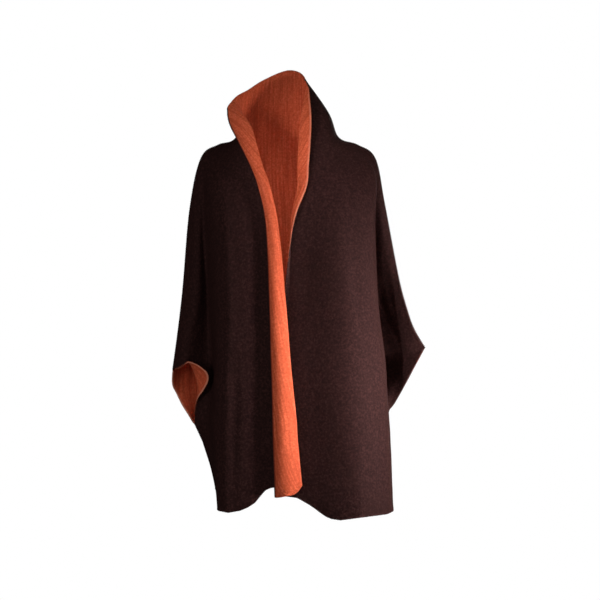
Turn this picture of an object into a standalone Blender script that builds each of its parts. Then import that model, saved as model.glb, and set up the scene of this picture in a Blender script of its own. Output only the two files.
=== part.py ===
"""A worn cape of thick double-face wool knit, hollow and open at the front, cut in three pieces.

The cape is one sheet of rows and columns. A row runs round the body from one front edge over the
back to the other front edge. Each row is a smooth curve through a few named lines: the free edge,
the roll of the turned-out lapel, the trough behind the roll, the crown and crest of the front, the
valley behind the crest, the front of the sleeve and the seam. The tables give those lines at twelve
sections from the hem to the top of the collar. The turned-out cloth swells between its edge and its
roll. The sheet is parted at the seams into the back and the two fronts.

Sides are the wearer's: the right side has negative x. The front faces -y. Origin: the middle of
the line between the shoulders at the neck.
"""

import bpy
import numpy as np
from mathutils import Vector

MM = 0.001
WALL = 3.0  # thickness of the double-face knit, mm
SEAM_GAP = 0.4  # between two pieces along a seam
SEAM_END_GAP = 1.8  # where a seam ends at a cuff or a vent
SEAM_FLAT = 2.5  # half width of the flat strip along a seam
ROLL_RADIUS = 5.5  # of the lapel's fold, at mid thickness
LAPEL_SWELL = 0.2  # how far the turned-out cloth stands proud, as a share of its width
WIDE_LAPEL = 30.0  # a narrower turned-out strip swells less

# The fronts are measured as they show from straight ahead, from an eye this far off.
EYE_DISTANCE = 2600.0
EYE_ACROSS = 31.0
EYE_UP = -382.0

# A section's number is its place in the tables: 0 the hem, 1 the top of the side vent, 2 the
# underarm, 3 the middle of the cuff, 4 the top of the cuff, 5 the elbow, 6 the upper arm,
# 7 the shoulder tip, 8 the middle of the shoulder, 9 the neck point, 10 the middle of the collar
# and 11 its top. Each point is (across, up, depth) in mm.
VENT_TOP, UNDERARM, CUFF_TOP, COLLAR_TOP = 1, 2, 4, 11

RIGHT_FRONT = {
    "edge": (
        (-30, -857, -178), (-35, -720, -170), (-36, -670, -167), (-38, -576, -160),
        (-40, -521, -157), (-44, -382, -150), (-52, -202, -131), (-70, -110, -108),
        (-89, -58, -91), (-113, -10, -73), (-139, 41, -58), (-144, 78, -42),
    ),
    "roll": (
        (36, -830, -182), (25, -720, -174), (22, -670, -171), (12, -576, -164),
        (7, -521, -160), (-4, -382, -150), (-22, -202, -133), (-42, -110, -118),
        (-60, -58, -104), (-74, -10, -88), (-91, 41, -52), (-137, 90, -24),
    ),
    "trough": (
        (-50, -838, -160), (-54, -720, -152), (-55, -669, -149), (-56, -576, -144),
        (-58, -521, -141), (-62, -382, -135), (-72, -199, -116), (-88, -106, -93),
        (-100, -52, -76), (-98, -4, -57), (-97, 44, -32), (-134, 93, -18),
    ),
    "crown": (
        (-98, -888, -152), (-98, -720, -146), (-98, -668, -143), (-98, -576, -138),
        (-98, -521, -135), (-100, -382, -130), (-112, -195, -110), (-124, -100, -82),
        (-124, -42, -58), (-114, 2, -36), (-101, 49, -14), (-131, 97, -11),
    ),
    "crest": (
        (-161, -888, -128), (-166, -725, -117), (-167, -678, -113), (-166, -585, -109),
        (-164, -521, -106), (-164, -382, -101), (-171, -190, -84), (-178, -90, -57),
        (-152, -29, -30), (-120, 3, -16), (-106, 52, -2), (-126, 102, 0),
    ),
    "valley": (
        (-165, -880, -100), (-182, -722, -58), (-188, -680, -42), (-182, -580, -12),
        (-184, -521, 2), (-190, -382, 4), (-198, -190, -22), (-196, -72, -26),
        (-158, -21, -14), (-122, 4, -5), (-109, 54, 5), (-122, 106, 6),
    ),
    "sleeve": (
        (-162, -874, -84), (-194, -720, -28), (-208, -680, -20), (-217, -575, -26),
        (-240, -502, -31), (-216, -372, -25), (-212, -176, -22), (-203, -54, -12),
        (-162, -15, -4), (-123, 5, 2), (-111, 55, 10), (-118, 109, 11),
    ),
    "seam": (
        (-155, -866, -60), (-202, -720, 0), (-221, -679, 5), (-191, -581, -50),
        (-274, -550, 3), (-251, -372, 16), (-233, -166, 14), (-206, -43, 8),
        (-165, -11, 8), (-123, 3, 9), (-112, 56, 15), (-115, 111, 15),
    ),
}

LEFT_FRONT = {
    "edge": (
        (-8, -855, -146), (-8, -728, -140), (-7, -665, -136), (-7, -590, -131),
        (-7, -521, -127), (-8, -382, -117), (15, -202, -127), (47, -110, -107),
        (52, -58, -91), (56, -5, -70), (58, 60, -36), (51, 124, 17),
    ),
    "roll": (
        (8, -858, -148), (8, -730, -142), (8, -667, -138), (8, -591, -133),
        (7, -521, -129), (6, -382, -119), (10, -202, -112), (25, -110, -97),
        (26, -58, -80), (28, -5, -58), (34, 60, -20), (48, 134, 28),
    ),
    "trough": (
        (56, -876, -160), (52, -733, -152), (51, -669, -148), (50, -591, -143),
        (50, -521, -139), (48, -382, -129), (52, -199, -116), (60, -104, -98),
        (60, -50, -74), (64, -3, -50), (62, 60, -12), (46, 140, 38),
    ),
    "crown": (
        (170, -906, -192), (165, -737, -180), (162, -672, -176), (158, -592, -168),
        (154, -521, -162), (146, -382, -150), (126, -195, -126), (112, -94, -94),
        (100, -42, -64), (104, 0, -38), (86, 60, -2), (44, 143, 45),
    ),
    "crest": (
        (253, -890, -120), (247, -730, -114), (243, -662, -112), (239, -590, -109),
        (235, -521, -106), (217, -382, -100), (208, -195, -86), (208, -88, -54),
        (162, -29, -30), (118, 3, -14), (95, 64, 9), (43, 144, 50),
    ),
    "valley": (
        (246, -882, -80), (236, -727, -50), (230, -656, -20), (222, -590, 10),
        (218, -521, 26), (206, -382, 30), (206, -195, 0), (210, -72, -24),
        (166, -20, -14), (120, 5, -4), (97, 65, 16), (42, 145, 53),
    ),
    "sleeve": (
        (243, -875, -60), (229, -716, -24), (236, -652, -4), (256, -580, 0),
        (278, -514, 5), (246, -372, 14), (226, -176, -4), (212, -52, -8),
        (168, -15, -3), (122, 6, 4), (98, 66, 23), (42, 147, 57),
    ),
    "seam": (
        (238, -868, -42), (226, -704, -4), (241, -648, 10), (298, -560, -12),
        (330, -497, -14), (274, -360, 2), (234, -156, 8), (211, -44, 7),
        (169, -11, 9), (123, 7, 11), (98, 67, 30), (41, 148, 62),
    ),
}

# The front edges of the cuffs between the underarm and the top of the cuff: (section, across, up,
# depth). The right one is rolled outward into a lobe.
RIGHT_CUFF = (
    (2.25, -222, -653, -12), (2.45, -221, -636, -24), (2.6, -214, -617, -34),
    (2.8, -203, -602, -42), (3.0, -191, -581, -50), (3.14, -188, -569, -54),
    (3.28, -192, -556, -57), (3.42, -204, -545, -58), (3.56, -218, -536, -54),
    (3.7, -237, -531, -46), (3.86, -257, -545, -32),
)
LEFT_CUFF = (
    (2.3, 254, -636, 3), (2.6, 266, -617, -4), (3.0, 290, -573, -18), (3.5, 311, -532, -25),
)
# The left sleeve flares just above its cuff.
LEFT_FLARE = ((4.4, 300, -444, -9), (4.7, 286, -402, -3))

# The hems of the fronts as they show from straight ahead: (across, up).
RIGHT_LAPEL_HEM = ((-30, -857), (-17, -856), (13, -851), (26, -843), (36, -828))
RIGHT_HEM = (
    (-171, -862), (-167, -880), (-160, -889), (-142, -893), (-113, -888), (-94, -880),
    (-77, -869), (-65, -854), (-52, -839), (-36, -832), (40, -829),
)
LEFT_HEM = (
    (-8, -853), (24, -857), (38, -865), (59, -877), (91, -901), (103, -907), (127, -911),
    (151, -908), (240, -896), (256, -888),
)

# The back is given where it lies: (across, up, depth) in mm, at the same twelve sections.
BACK = {
    "right seam": (
        (-167, -840, 22), (-202, -722, 2), (-223, -681, 5), (-268, -612, 38),
        (-274, -550, 3), (-251, -372, 16), (-233, -166, 14), (-206, -43, 8),
        (-165, -11, 8), (-123, 3, 9), (-112, 56, 15), (-115, 111, 15),
    ),
    "right sleeve": (
        (-174, -845, 52), (-200, -722, 36), (-220, -676, 42), (-240, -604, 58),
        (-246, -520, 46), (-238, -380, 56), (-222, -180, 54), (-200, -66, 42),
        (-160, -22, 36), (-120, 8, 34), (-106, 76, 36), (-98, 128, 38),
    ),
    "right fold": (
        (-150, -847, 104), (-172, -722, 98), (-176, -674, 98), (-182, -600, 98),
        (-184, -520, 96), (-180, -380, 100), (-174, -186, 98), (-160, -86, 84),
        (-130, -34, 70), (-96, 12, 66), (-76, 92, 68), (-58, 160, 68),
    ),
    "middle": (
        (34, -848, 150), (28, -722, 146), (26, -672, 144), (22, -598, 141),
        (18, -520, 138), (12, -380, 132), (6, -190, 124), (2, -94, 114),
        (1, -38, 104), (0, 16, 94), (0, 102, 88), (2, 188, 88),
    ),
    "left fold": (
        (206, -849, 102), (202, -722, 98), (200, -672, 98), (196, -598, 98),
        (190, -520, 98), (176, -380, 102), (168, -186, 98), (160, -86, 84),
        (132, -34, 70), (98, 14, 66), (72, 92, 72), (28, 182, 82),
    ),
    "left sleeve": (
        (240, -850, 44), (236, -706, 34), (246, -652, 44), (272, -584, 52),
        (294, -512, 38), (256, -376, 54), (226, -180, 54), (206, -62, 42),
        (164, -20, 36), (122, 10, 34), (90, 78, 52), (40, 168, 72),
    ),
    "left seam": (
        (240, -852, 4), (226, -704, -4), (241, -648, 10), (300, -580, 34),
        (328, -496, -14), (274, -360, 2), (234, -156, 8), (211, -44, 7),
        (169, -11, 9), (123, 7, 11), (98, 67, 30), (41, 148, 62),
    ),
}
# The back edges of the vent and the cuffs between the seams: (section, across, up, depth).
RIGHT_BACK_CUFF = (
    (0.5, -183, -784, 14), (2.3, -239, -662, 28), (2.6, -256, -639, 40), (3.0, -269, -613, 42),
    (3.5, -278, -586, 24),
)
LEFT_BACK_CUFF = (
    (2.3, 254, -636, 26), (2.6, 266, -617, 36), (3.0, 290, -573, 34), (3.5, 311, -532, 14),
)

# The back's soft upright waves: how many, how deep at the hem (mm), and the section where they end.
FLUTES, FLUTE_DEPTH, FLUTE_TOP = 3.2, 15.0, 7.0

# Rows of the sheet between one section and the next, from the hem up.
ROWS = (3, 1, 5, 7, 5, 4, 3, 3, 2, 3, 5)
# Columns of the front from the edge over the middle and inner side of the turned-out cloth, the roll
# and its under side, to the trough, the crown, the crest, the valley, the sleeve and the seam.
FRONT_COLUMNS = (1, 2, 2, 2, 2, 3, 4, 3, 3, 3)
BACK_COLUMNS = (3, 3, 6, 6, 3, 3)

COLOURS = {
    "back": (0.030, 0.016, 0.018, 1.0),
    "right_front": (0.034, 0.018, 0.020, 1.0),
    "left_front": (0.032, 0.017, 0.019, 1.0),
}


def placed(points):
    """Points read from straight ahead, moved along the line of sight to their own depth."""
    points = np.array(points, float)
    reach = (EYE_DISTANCE + points[:, 2]) / EYE_DISTANCE
    across = EYE_ACROSS + (points[:, 0] - EYE_ACROSS) * reach
    up = EYE_UP + (points[:, 1] - EYE_UP) * reach
    return np.column_stack([across, points[:, 2], up])


def as_lying(points):
    points = np.array(points, float)
    return points[:, [0, 2, 1]]


def slopes(knots, points):
    """The slope at each point of a smooth curve through them all, one-sided at the ends."""
    steps = np.diff(knots)[:, None]
    rises = np.diff(points, axis=0) / steps
    inner = (rises[:-1] * steps[1:] + rises[1:] * steps[:-1]) / (steps[:-1] + steps[1:])
    first = 1.5 * rises[:1] - 0.5 * inner[:1]
    last = 1.5 * rises[-1:] - 0.5 * inner[-1:]
    return np.concatenate([first, inner, last])


def curve(knots, points, where):
    """Places on the smooth curve through the points, at the given values of its knots."""
    knots = np.asarray(knots, float)
    points = np.asarray(points, float)
    slope = slopes(knots, points)
    span = np.clip(np.searchsorted(knots, where, side="right") - 1, 0, len(knots) - 2)
    width = (knots[span + 1] - knots[span])[:, None]
    part = ((where - knots[span]) / width[:, 0])[:, None]
    start = (1 + 2 * part) * (1 - part) ** 2 * points[span]
    start += part * (1 - part) ** 2 * width * slope[span]
    end = part**2 * (3 - 2 * part) * points[span + 1]
    end += part**2 * (part - 1) * width * slope[span + 1]
    return start + end


def line_places(sections, points, corners, where):
    """A line up the cape. It may turn sharply at the corner sections."""
    stops = [sections[0], *[c for c in corners if c in sections], sections[-1]]
    places = np.zeros((len(where), 3))
    for low, high in zip(stops, stops[1:]):
        pick = [i for i, s in enumerate(sections) if low <= s <= high]
        rows = (where >= low) & (where <= high)
        if len(pick) == 2:
            part = ((where[rows] - low) / (high - low))[:, None]
            places[rows] = points[pick[0]] * (1 - part) + points[pick[1]] * part
        else:
            places[rows] = curve(np.array(sections)[pick], points[pick], where[rows])
    return places


def hem_height(hem, places):
    """The height of the hem at these places, where it shows at its own height from straight ahead."""
    hem = np.array(hem, float)
    reach = (EYE_DISTANCE + places[:, 1]) / EYE_DISTANCE
    across = EYE_ACROSS + (places[:, 0] - EYE_ACROSS) / reach
    return EYE_UP + (np.interp(across, hem[:, 0], hem[:, 1]) - EYE_UP) * reach


def cut_hem(grid, rows, lapel_hem, hem):
    """Shortens or lengthens each column of a front below the vent's top, to end at its hem."""
    lapel = sum(FRONT_COLUMNS[:3]) + 1
    front = sum(FRONT_COLUMNS[:7])
    change = np.zeros(grid.shape[1])
    change[:front] = hem_height(hem, grid[0, :front]) - grid[0, :front, 2]
    if lapel_hem:
        change[:lapel] = hem_height(lapel_hem, grid[0, :lapel]) - grid[0, :lapel, 2]
    rest = np.arange(grid.shape[1] - front)
    change[front:] = change[front - 1] * np.maximum(0.0, 1 - rest / 4)
    share = np.clip(1 - rows / VENT_TOP, 0, 1)
    grid[:, :, 2] += share[:, None] * change


def seam_line(table, cuff, move, where):
    """The outer edge of a piece: up the vent and side seam, round its cuff, and up to the collar."""
    marks = [(s, *point) for s, point in enumerate(table) if not UNDERARM < s < CUFF_TOP]
    marks = sorted(marks + list(cuff))
    sections = [float(mark[0]) for mark in marks]
    points = move([mark[1:] for mark in marks])
    return line_places(sections, points, (VENT_TOP, UNDERARM, CUFF_TOP), where)


def row_values():
    values = []
    for section, count in enumerate(ROWS):
        values += [section + i / count for i in range(count)]
    return np.array(values + [float(COLLAR_TOP)])


def is_joined(row):
    """Whether the front and the back are sewn together at this row."""
    return VENT_TOP <= row <= UNDERARM or row >= CUFF_TOP


def gap_at(row):
    """The gap along a seam, wider where the seam ends."""
    return SEAM_END_GAP if row in (VENT_TOP, UNDERARM, CUFF_TOP) else SEAM_GAP


def chord_knots(points):
    steps = np.sqrt(np.linalg.norm(np.diff(points, axis=0), axis=1))
    return np.concatenate([[0.0], np.cumsum(steps)])


def unit(vector):
    return vector / max(np.linalg.norm(vector), 1e-9)


def section_curve(points, before, after, columns, gap):
    """A row through the points. Before and after are the next points beyond a sewn edge, or None."""
    full = list(points)
    first, last = 0, len(points) - 1
    if before is not None:
        full = [before] + full
        first, last = 1, len(points)
    if after is not None:
        full = full + [after]
    full = np.array(full)
    knots = chord_knots(full)
    where = []
    for line, count in zip(range(first, last), columns):
        part = np.arange(count) / count
        where += list(knots[line] + part * (knots[line + 1] - knots[line]))
    where.append(knots[last])
    places = curve(knots, full, np.array(where))
    if before is not None:
        along = unit(full[2] - full[0])
        places[0] = points[0] + along * gap / 2
        places[1] = points[0] + along * (gap / 2 + SEAM_FLAT)
    if after is not None:
        along = unit(full[-1] - full[-3])
        places[-1] = points[-1] - along * gap / 2
        places[-2] = points[-1] - along * (gap / 2 + SEAM_FLAT)
    return places


def front_rows(table, cuff, lapel_hem, hem, rows, beyond):
    """The front's grid of points. Beyond is the back's first line past the seam."""
    sections = [float(s) for s in range(COLLAR_TOP + 1)]
    lines = {}
    for name in ("edge", "roll", "trough", "crown", "crest", "valley", "sleeve"):
        lines[name] = line_places(sections, placed(table[name]), (), rows)
    lines["seam"] = seam_line(table["seam"], cuff, placed, rows)
    grid = []
    for i, row in enumerate(rows):
        edge, roll, trough = lines["edge"][i], lines["roll"][i], lines["trough"][i]
        to_trough = unit(trough - roll)
        to_edge = unit(edge - roll)
        reach = 0.4 * min(np.linalg.norm(edge - roll), np.linalg.norm(trough - roll))
        reach = min(ROLL_RADIUS, reach)
        lapel = roll + to_edge * reach * 1.5
        under = roll + to_trough * reach * 1.5
        spread = lapel - under
        if np.dot(to_trough, to_edge) > 0:
            short = 2 * reach - np.linalg.norm(spread)
            lapel = lapel + unit(spread) * max(short, 0) / 2
            under = under - unit(spread) * max(short, 0) / 2
        middle = (edge + lapel) / 2
        width = np.linalg.norm(lapel - edge)
        middle[1] -= LAPEL_SWELL * width * min(1.0, width / WIDE_LAPEL)
        points = [edge, middle, lapel, roll, under, trough]
        points += [lines[name][i] for name in ("crown", "crest", "valley", "sleeve", "seam")]
        after = beyond[i] if is_joined(row) else None
        grid.append(section_curve(points, None, after, FRONT_COLUMNS, gap_at(row)))
    grid = np.array(grid)
    cut_hem(grid, rows, lapel_hem, hem)
    return grid


def back_lines(rows):
    """The back's seven lines at these rows, from its right edge to its left edge."""
    sections = [float(s) for s in range(COLLAR_TOP + 1)]
    lines = [seam_line(BACK["right seam"], RIGHT_BACK_CUFF, as_lying, rows)]
    for name in ("right sleeve", "right fold", "middle", "left fold", "left sleeve"):
        lines.append(line_places(sections, as_lying(BACK[name]), (), rows))
    lines.append(seam_line(BACK["left seam"], LEFT_BACK_CUFF, as_lying, rows))
    return lines


def flute(back, rows):
    """Soft upright waves in the back, deepest at the hem and gone at the shoulders."""
    across = np.linspace(0, 1, back.shape[1])
    deep = FLUTE_DEPTH * np.clip(1 - rows / FLUTE_TOP, 0, 1) ** 1.2
    wave = np.cos(2 * np.pi * FLUTES * (across - 0.46)) * np.sin(np.pi * across) ** 2
    back[:, :, 1] += deep[:, None] * wave


def sheet(rows):
    """The grids of the three pieces, by name."""
    right_seam = seam_line(RIGHT_FRONT["seam"], RIGHT_CUFF, placed, rows)
    left_seam = seam_line(LEFT_FRONT["seam"], LEFT_CUFF + LEFT_FLARE, placed, rows)
    sections = [float(s) for s in range(COLLAR_TOP + 1)]
    lines = back_lines(rows)
    joined = np.array([is_joined(row) for row in rows])
    lines[0][joined] = right_seam[joined]
    lines[-1][joined] = left_seam[joined]
    right_sleeve = line_places(sections, placed(RIGHT_FRONT["sleeve"]), (), rows)
    left_sleeve = line_places(sections, placed(LEFT_FRONT["sleeve"]), (), rows)
    back = []
    for i, row in enumerate(rows):
        points = [line[i] for line in lines]
        before = right_sleeve[i] if joined[i] else None
        after = left_sleeve[i] if joined[i] else None
        back.append(section_curve(points, before, after, BACK_COLUMNS, gap_at(row)))
    back = np.array(back)
    flute(back, rows)
    return {
        "back": back,
        "right_front": front_rows(RIGHT_FRONT, RIGHT_CUFF, RIGHT_LAPEL_HEM, RIGHT_HEM, rows, lines[1]),
        "left_front": front_rows(LEFT_FRONT, LEFT_CUFF + LEFT_FLARE, None, LEFT_HEM, rows, lines[-2]),
    }


def facing_out(name, grid):
    """Faces of the grid, turned so that their normals leave the body."""
    count = grid.shape[1]
    faces = []
    for i in range(grid.shape[0] - 1):
        for j in range(count - 1):
            a = i * count + j
            quad = (a, a + 1, a + count + 1, a + count)
            faces.append(quad if name == "left_front" else quad[::-1])
    return faces


def cloth_piece(name, grid, collection):
    mesh = bpy.data.meshes.new(name)
    points = [Vector(p) * MM for p in grid.reshape(-1, 3)]
    mesh.from_pydata(points, [], facing_out(name, grid))
    mesh.update()
    piece = bpy.data.objects.new(name, mesh)
    collection.objects.link(piece)
    wall = piece.modifiers.new("wall", "SOLIDIFY")
    wall.thickness = WALL * MM
    wall.offset = 0.0
    wall.use_even_offset = True
    wall.use_quality_normals = True
    cloth = bpy.data.materials.new(f"{name} wool knit")
    cloth.use_nodes = True
    shader = cloth.node_tree.nodes["Principled BSDF"]
    shader.inputs["Base Color"].default_value = COLOURS[name]
    shader.inputs["Roughness"].default_value = 0.95
    mesh.materials.append(cloth)
    return piece


def build():
    for old in list(bpy.data.objects):
        bpy.data.objects.remove(old, do_unlink=True)
    collection = bpy.data.collections.new("cape")
    bpy.context.scene.collection.children.link(collection)
    for name, grid in sheet(row_values()).items():
        cloth_piece(name, grid, collection)


build()
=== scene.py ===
# %% [markdown]
# # A worn cape of double-face wool knit
# The cape hangs open at the front. It is dark aubergine outside and rust inside, and the right
# front is turned back from the collar to the hem, so that its rust face shows. The solids of the
# part give its size and pose. This script makes the cloth that is seen: three thin knitted panels
# with soft folds and rounded edges, their stitches, and a plain studio. Loading the part first
# keeps every piece in the same place as its solid.

# %% Load the part
import math

import bpy
import numpy as np
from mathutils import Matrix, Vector, noise


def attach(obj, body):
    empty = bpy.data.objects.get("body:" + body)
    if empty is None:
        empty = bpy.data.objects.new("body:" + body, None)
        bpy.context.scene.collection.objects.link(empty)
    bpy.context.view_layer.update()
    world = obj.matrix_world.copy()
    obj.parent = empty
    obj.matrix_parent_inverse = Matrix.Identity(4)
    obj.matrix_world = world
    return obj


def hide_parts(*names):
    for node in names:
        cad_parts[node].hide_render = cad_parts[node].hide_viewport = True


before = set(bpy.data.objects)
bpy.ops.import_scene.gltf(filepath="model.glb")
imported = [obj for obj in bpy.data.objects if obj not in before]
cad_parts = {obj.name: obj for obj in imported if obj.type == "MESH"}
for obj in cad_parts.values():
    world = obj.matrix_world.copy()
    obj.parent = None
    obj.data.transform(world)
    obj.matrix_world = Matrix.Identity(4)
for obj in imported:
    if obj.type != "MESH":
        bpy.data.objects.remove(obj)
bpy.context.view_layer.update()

MM = 0.001
print("panels in the part:", sorted(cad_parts))

# %% [markdown]
# ## The lines of the garment
# A pattern cutter describes a draped garment by a few lines on it: the edge of the lapel, its roll,
# the crown and crest of the front, the valley behind the crest, the sleeve and the seam. Here each
# line has a place at twelve sections from the hem to the top of the collar. The same short tables
# shape the solids, so the cloth lies in them. A section's number is its place in a table: 0 the
# hem, 1 the top of the side vent, 2 the underarm, 3 the middle of the cuff, 4 its top, 5 the elbow,
# 6 the upper arm, 7 the shoulder tip, 8 the middle of the shoulder, 9 the neck point, 10 the middle
# of the collar and 11 its top. Each point is (across, up, depth) in mm. The fronts are given as
# they show from straight ahead, and the back where it lies.

# %% Sizes of the cloth
# Lengths are in mm. The two edges of a seam press half a millimetre into each other, so that no
# light passes. The lapel's roll takes at most this share of the cloth on either side of it.
WALL, SEAM_GAP, SEAM_FLAT = 3.0, -0.5, 4.0
ROLL_RADIUS, ROLL_SHARE, ROLL_OPEN = 5.5, 0.4, 1.5
LAPEL_SWELL, WIDE_LAPEL = 0.2, 30.0
EYE_DISTANCE, EYE_ACROSS, EYE_UP = 2600.0, 31.0, -382.0
VENT_TOP, UNDERARM, CUFF_TOP, COLLAR_TOP = 1, 2, 4, 11

# %% Lines of the two fronts and the back
RIGHT_FRONT = {
    "edge": (
        (-30, -857, -178), (-35, -720, -170), (-36, -670, -167), (-38, -576, -160),
        (-40, -521, -157), (-44, -382, -150), (-52, -202, -131), (-70, -110, -108),
        (-89, -58, -91), (-113, -10, -73), (-139, 41, -58), (-144, 78, -42),
    ),
    "roll": (
        (36, -830, -182), (25, -720, -174), (22, -670, -171), (12, -576, -164),
        (7, -521, -160), (-4, -382, -150), (-22, -202, -133), (-42, -110, -118),
        (-60, -58, -104), (-74, -10, -88), (-91, 41, -52), (-137, 90, -24),
    ),
    "trough": (
        (-50, -838, -160), (-54, -720, -152), (-55, -669, -149), (-56, -576, -144),
        (-58, -521, -141), (-62, -382, -135), (-72, -199, -116), (-88, -106, -93),
        (-100, -52, -76), (-98, -4, -57), (-97, 44, -32), (-134, 93, -18),
    ),
    "crown": (
        (-98, -888, -152), (-98, -720, -146), (-98, -668, -143), (-98, -576, -138),
        (-98, -521, -135), (-100, -382, -130), (-112, -195, -110), (-124, -100, -82),
        (-124, -42, -58), (-114, 2, -36), (-101, 49, -14), (-131, 97, -11),
    ),
    "crest": (
        (-161, -888, -128), (-166, -725, -117), (-167, -678, -113), (-166, -585, -109),
        (-164, -521, -106), (-164, -382, -101), (-171, -190, -84), (-178, -90, -57),
        (-152, -29, -30), (-120, 3, -16), (-106, 52, -2), (-126, 102, 0),
    ),
    "valley": (
        (-165, -880, -100), (-182, -722, -58), (-188, -680, -42), (-182, -580, -12),
        (-184, -521, 2), (-190, -382, 4), (-198, -190, -22), (-196, -72, -26),
        (-158, -21, -14), (-122, 4, -5), (-109, 54, 5), (-122, 106, 6),
    ),
    "sleeve": (
        (-162, -874, -84), (-194, -720, -28), (-208, -680, -20), (-217, -575, -26),
        (-240, -502, -31), (-216, -372, -25), (-212, -176, -22), (-203, -54, -12),
        (-162, -15, -4), (-123, 5, 2), (-111, 55, 10), (-118, 109, 11),
    ),
    "seam": (
        (-155, -866, -60), (-202, -720, 0), (-221, -679, 5), (-191, -581, -50),
        (-274, -550, 3), (-251, -372, 16), (-233, -166, 14), (-206, -43, 8),
        (-165, -11, 8), (-123, 3, 9), (-112, 56, 15), (-115, 111, 15),
    ),
}

LEFT_FRONT = {
    "edge": (
        (-8, -855, -146), (-8, -728, -140), (-7, -665, -136), (-7, -590, -131),
        (-7, -521, -127), (-8, -382, -117), (15, -202, -127), (47, -110, -107),
        (52, -58, -91), (56, -5, -70), (58, 60, -36), (51, 124, 17),
    ),
    "roll": (
        (8, -858, -148), (8, -730, -142), (8, -667, -138), (8, -591, -133),
        (7, -521, -129), (6, -382, -119), (10, -202, -112), (25, -110, -97),
        (26, -58, -80), (28, -5, -58), (34, 60, -20), (48, 134, 28),
    ),
    "trough": (
        (56, -876, -160), (52, -733, -152), (51, -669, -148), (50, -591, -143),
        (50, -521, -139), (48, -382, -129), (52, -199, -116), (60, -104, -98),
        (60, -50, -74), (64, -3, -50), (62, 60, -12), (46, 140, 38),
    ),
    "crown": (
        (170, -906, -192), (165, -737, -180), (162, -672, -176), (158, -592, -168),
        (154, -521, -162), (146, -382, -150), (126, -195, -126), (112, -94, -94),
        (100, -42, -64), (104, 0, -38), (86, 60, -2), (44, 143, 45),
    ),
    "crest": (
        (253, -890, -120), (247, -730, -114), (243, -662, -112), (239, -590, -109),
        (235, -521, -106), (217, -382, -100), (208, -195, -86), (208, -88, -54),
        (162, -29, -30), (118, 3, -14), (95, 64, 9), (43, 144, 50),
    ),
    "valley": (
        (246, -882, -80), (236, -727, -50), (230, -656, -20), (222, -590, 10),
        (218, -521, 26), (206, -382, 30), (206, -195, 0), (210, -72, -24),
        (166, -20, -14), (120, 5, -4), (97, 65, 16), (42, 145, 53),
    ),
    "sleeve": (
        (243, -875, -60), (229, -716, -24), (236, -652, -4), (256, -580, 0),
        (278, -514, 5), (246, -372, 14), (226, -176, -4), (212, -52, -8),
        (168, -15, -3), (122, 6, 4), (98, 66, 23), (42, 147, 57),
    ),
    "seam": (
        (238, -868, -42), (226, -704, -4), (241, -648, 10), (298, -560, -12),
        (330, -497, -14), (274, -360, 2), (234, -156, 8), (211, -44, 7),
        (169, -11, 9), (123, 7, 11), (98, 67, 30), (41, 148, 62),
    ),
}

# The front edges of the cuffs between the underarm and the top of the cuff: (section, across, up,
# depth). The right one is rolled outward into a lobe.
RIGHT_CUFF = (
    (2.25, -222, -653, -12), (2.45, -221, -636, -24), (2.6, -214, -617, -34),
    (2.8, -203, -602, -42), (3.0, -191, -581, -50), (3.14, -188, -569, -54),
    (3.28, -192, -556, -57), (3.42, -204, -545, -58), (3.56, -218, -536, -54),
    (3.7, -237, -531, -46), (3.86, -257, -545, -32),
)
LEFT_CUFF = (
    (2.3, 254, -636, 3), (2.6, 266, -617, -4), (3.0, 290, -573, -18), (3.5, 311, -532, -25),
)
# The left sleeve flares just above its cuff.
LEFT_FLARE = ((4.4, 300, -444, -9), (4.7, 286, -402, -3))

# The hems of the fronts as they show from straight ahead: (across, up).
RIGHT_LAPEL_HEM = ((-30, -857), (-17, -856), (13, -851), (26, -843), (36, -828))
RIGHT_HEM = (
    (-171, -862), (-167, -880), (-160, -889), (-142, -893), (-113, -888), (-94, -880),
    (-77, -869), (-65, -854), (-52, -839), (-36, -832), (40, -829),
)
LEFT_HEM = (
    (-8, -853), (24, -857), (38, -865), (59, -877), (91, -901), (103, -907), (127, -911),
    (151, -908), (240, -896), (256, -888),
)

# The back is given where it lies: (across, up, depth) in mm, at the same twelve sections. Its seams
# are given up to the top of the cuff, because above that they follow the seams of the fronts.
BACK = {
    "right seam": (
        (-167, -840, 22), (-202, -722, 2), (-223, -681, 5), (-268, -612, 38), (-274, -550, 3),
    ),
    "right sleeve": (
        (-174, -845, 52), (-200, -722, 36), (-220, -676, 42), (-240, -604, 58),
        (-246, -520, 46), (-238, -380, 56), (-222, -180, 54), (-200, -66, 42),
        (-160, -22, 36), (-120, 8, 34), (-106, 76, 36), (-98, 128, 38),
    ),
    "right fold": (
        (-150, -847, 104), (-172, -722, 98), (-176, -674, 98), (-182, -600, 98),
        (-184, -520, 96), (-180, -380, 100), (-174, -186, 98), (-160, -86, 84),
        (-130, -34, 70), (-96, 12, 66), (-76, 92, 68), (-58, 160, 68),
    ),
    "middle": (
        (34, -848, 150), (28, -722, 146), (26, -672, 144), (22, -598, 141),
        (18, -520, 138), (12, -380, 132), (6, -190, 124), (2, -94, 114),
        (1, -38, 104), (0, 16, 94), (0, 102, 88), (2, 188, 88),
    ),
    "left fold": (
        (206, -849, 102), (202, -722, 98), (200, -672, 98), (196, -598, 98),
        (190, -520, 98), (176, -380, 102), (168, -186, 98), (160, -86, 84),
        (132, -34, 70), (98, 14, 66), (72, 92, 72), (28, 182, 82),
    ),
    "left sleeve": (
        (240, -850, 44), (236, -706, 34), (246, -652, 44), (272, -584, 52),
        (294, -512, 38), (256, -376, 54), (226, -180, 54), (206, -62, 42),
        (164, -20, 36), (122, 10, 34), (90, 78, 52), (40, 168, 72),
    ),
    "left seam": (
        (240, -852, 4), (226, -704, -4), (241, -648, 10), (300, -580, 34), (328, -496, -14),
    ),
}
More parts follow.
